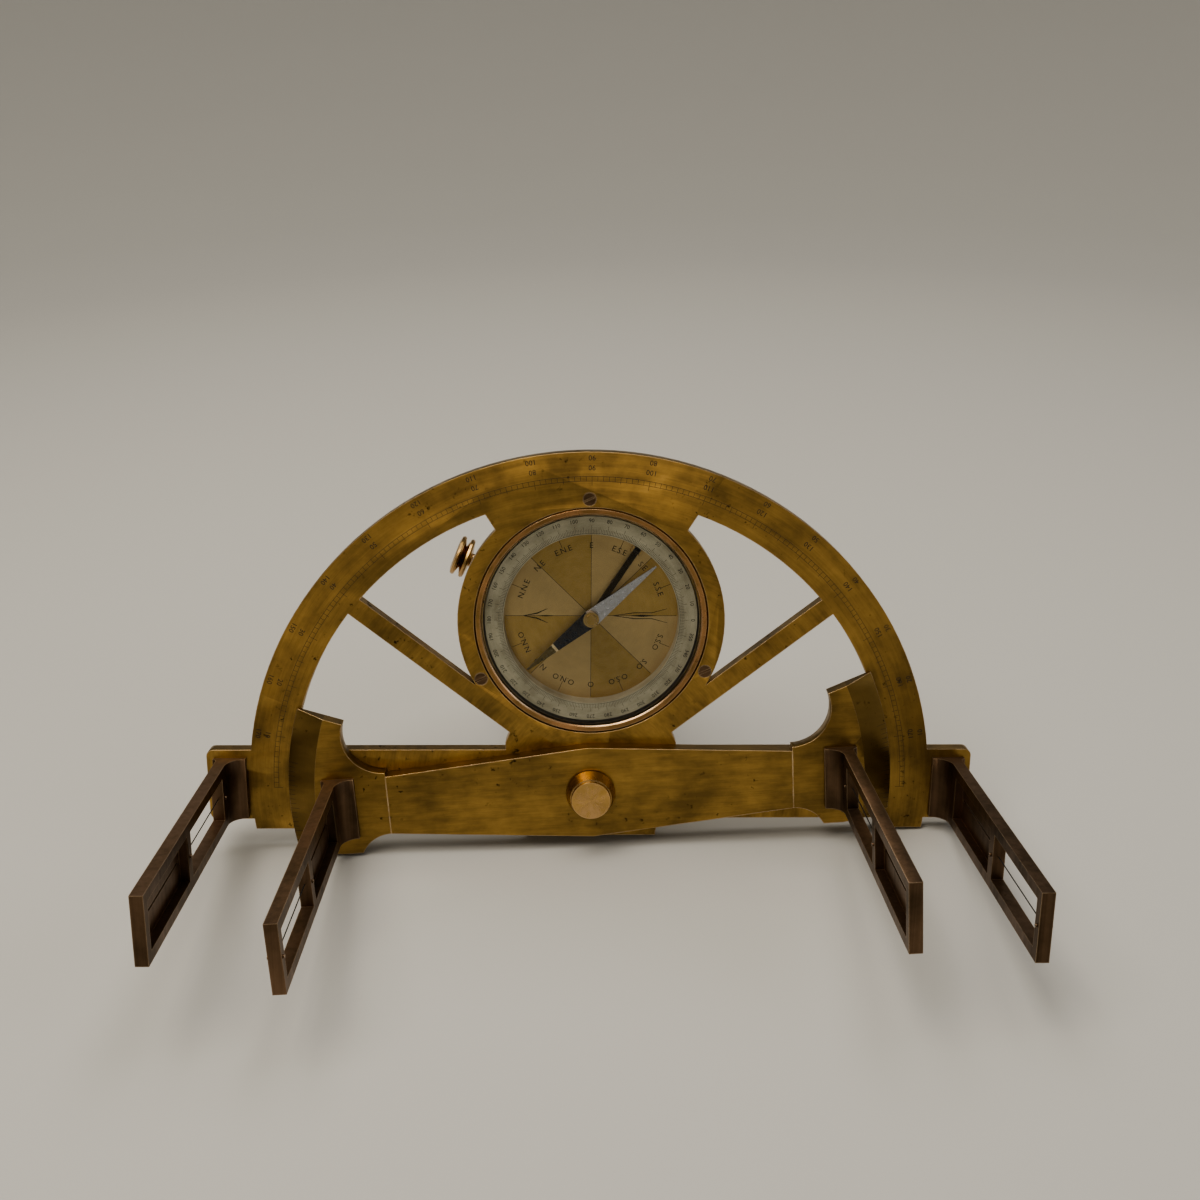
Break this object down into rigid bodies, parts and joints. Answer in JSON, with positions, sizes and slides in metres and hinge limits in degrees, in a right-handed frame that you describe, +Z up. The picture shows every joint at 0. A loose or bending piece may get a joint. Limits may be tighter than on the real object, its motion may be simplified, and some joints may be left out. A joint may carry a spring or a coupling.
{
  "type": "graphometer",
  "caption": "Half-circle surveying graphometer with open pinnule sights, a turning alidade, a sighting compass and a ball-and-socket knee.",
  "frame": {"origin": "middle of the bounding box on the floor, with the instrument standing on its lower edge and its socket", "axes": "+X along the ruler to the right seen from the divided face, +Y from the divided face towards the knee, +Z up"},
  "size_m": [0.2253, 0.2018, 0.115],
  "materials": {
    "limb_brass": "straight and circular grained old brass",
    "bar_brass": "long grained old brass",
    "sight_brass": "brown toned old brass",
    "screw_brass": "brown toned brass fastener",
    "turned_brass": "turned and lacquered brass",
    "bezel_brass": "coppery turned brass",
    "knee_brass": "turned old brass",
    "dial_brass": "gilt and frosted brass, engraved",
    "silvered": "silvered brass, engraved",
    "needle_steel": "steel, one half blued",
    "fine_steel": "polished steel",
    "hair": "horsehair",
    "glass": "clear flat glass",
    "agate": "polished stone"
  },
  "bodies": {
    "limb": {"limb_plate": "limb_brass", "fixed_sight_left": "sight_brass", "fixed_sight_right": "sight_brass", "fixed_sight_screws": "screw_brass", "fixed_sight_pins": "screw_brass", "fixed_sight_hairs": "hair", "fixed_hair_pegs": "screw_brass", "pivot_arbor": "screw_brass", "pivot_button": "turned_brass", "pivot_washer": "turned_brass", "pivot_nut": "screw_brass", "compass_box": "knee_brass", "compass_dial": "dial_brass", "degree_ring": "silvered", "compass_glass": "glass", "compass_bezel": "bezel_brass", "compass_screws": "screw_brass", "needle_post": "fine_steel", "lifter_bracket": "turned_brass", "lifter_hinge_pin": "fine_steel", "knee_bracket": "knee_brass", "bracket_screws": "screw_brass"},
    "alidade": {"alidade_bar": "bar_brass", "alidade_sight_left": "sight_brass", "alidade_sight_right": "sight_brass", "alidade_sight_screws": "screw_brass", "alidade_sight_pins": "screw_brass", "alidade_sight_hairs": "hair", "alidade_hair_pegs": "screw_brass"},
    "compass_needle": {"needle": "needle_steel", "needle_cap": "turned_brass", "needle_jewel": "agate"},
    "needle_lifter": {"lifter_lever": "turned_brass"},
    "push_pin": {"lifter_push_pin": "screw_brass"},
    "knee": {"knee_ball": "knee_brass"},
    "socket": {"socket_body": "knee_brass", "jaw_pins": "screw_brass"},
    "jaw": {"loose_jaw": "knee_brass", "jaw_screw_washer": "turned_brass"},
    "clamp_screw": {"jaw_screw": "turned_brass"},
    "spigot_lock": {"spigot_screw": "turned_brass"}
  },
  "joints": [
    {"name": "alidade_turn", "type": "hinge", "parent": "limb", "child": "alidade", "pos_m": [0, -0.01253, 0.01723], "axis": [0, -0.9816, 0.1908], "continuous": true},
    {"name": "needle_turn", "type": "hinge", "parent": "limb", "child": "compass_needle", "pos_m": [0.00163, 0.00321, 0.06569], "axis": [0, -0.9816, 0.1908], "continuous": true},
    {"name": "lifter_push", "type": "slide", "parent": "limb", "child": "push_pin", "axis": [0, -0.9816, 0.1908], "range_m": [0, 0.00028]},
    {"name": "lifter_lift", "type": "hinge", "parent": "limb", "child": "needle_lifter", "pos_m": [0.01517, 0.00854, 0.08447], "axis": [-0.8207, 0.109, 0.5609], "range_deg": [0, 1.39]},
    {"name": "knee_turn", "type": "hinge", "parent": "limb", "child": "knee", "pos_m": [0.00163, 0.03639, 0.05924], "axis": [0, -0.9816, 0.1908], "continuous": true},
    {"name": "knee_tilt", "type": "hinge", "parent": "knee", "child": "socket", "pos_m": [0.00163, 0.03639, 0.05924], "axis": [0.9146, -0.0771, -0.3968], "range_deg": [0, 65.7]},
    {"name": "jaw_open", "type": "slide", "parent": "socket", "child": "jaw", "axis": [-0.9146, 0.0771, 0.3968], "range_m": [0, 0.000333]},
    {"name": "clamp_screw_turn", "type": "hinge", "parent": "jaw", "child": "clamp_screw", "pos_m": [-0.01525, 0.04955, 0.05432], "axis": [-0.9146, 0.0771, 0.3968], "range_deg": [0, 150]},
    {"name": "spigot_screw_turn", "type": "hinge", "parent": "socket", "child": "spigot_lock", "pos_m": [-0.00737, 0.08848, 0.02836], "axis": [0.3397, 0.6788, 0.651], "continuous": true}
  ],
  "couplings": [
    {"joint": "lifter_lift", "follows": "lifter_push", "rad_per_m": 85.47},
    {"joint": "clamp_screw_turn", "follows": "jaw_open", "rad_per_m": 7854}
  ]
}
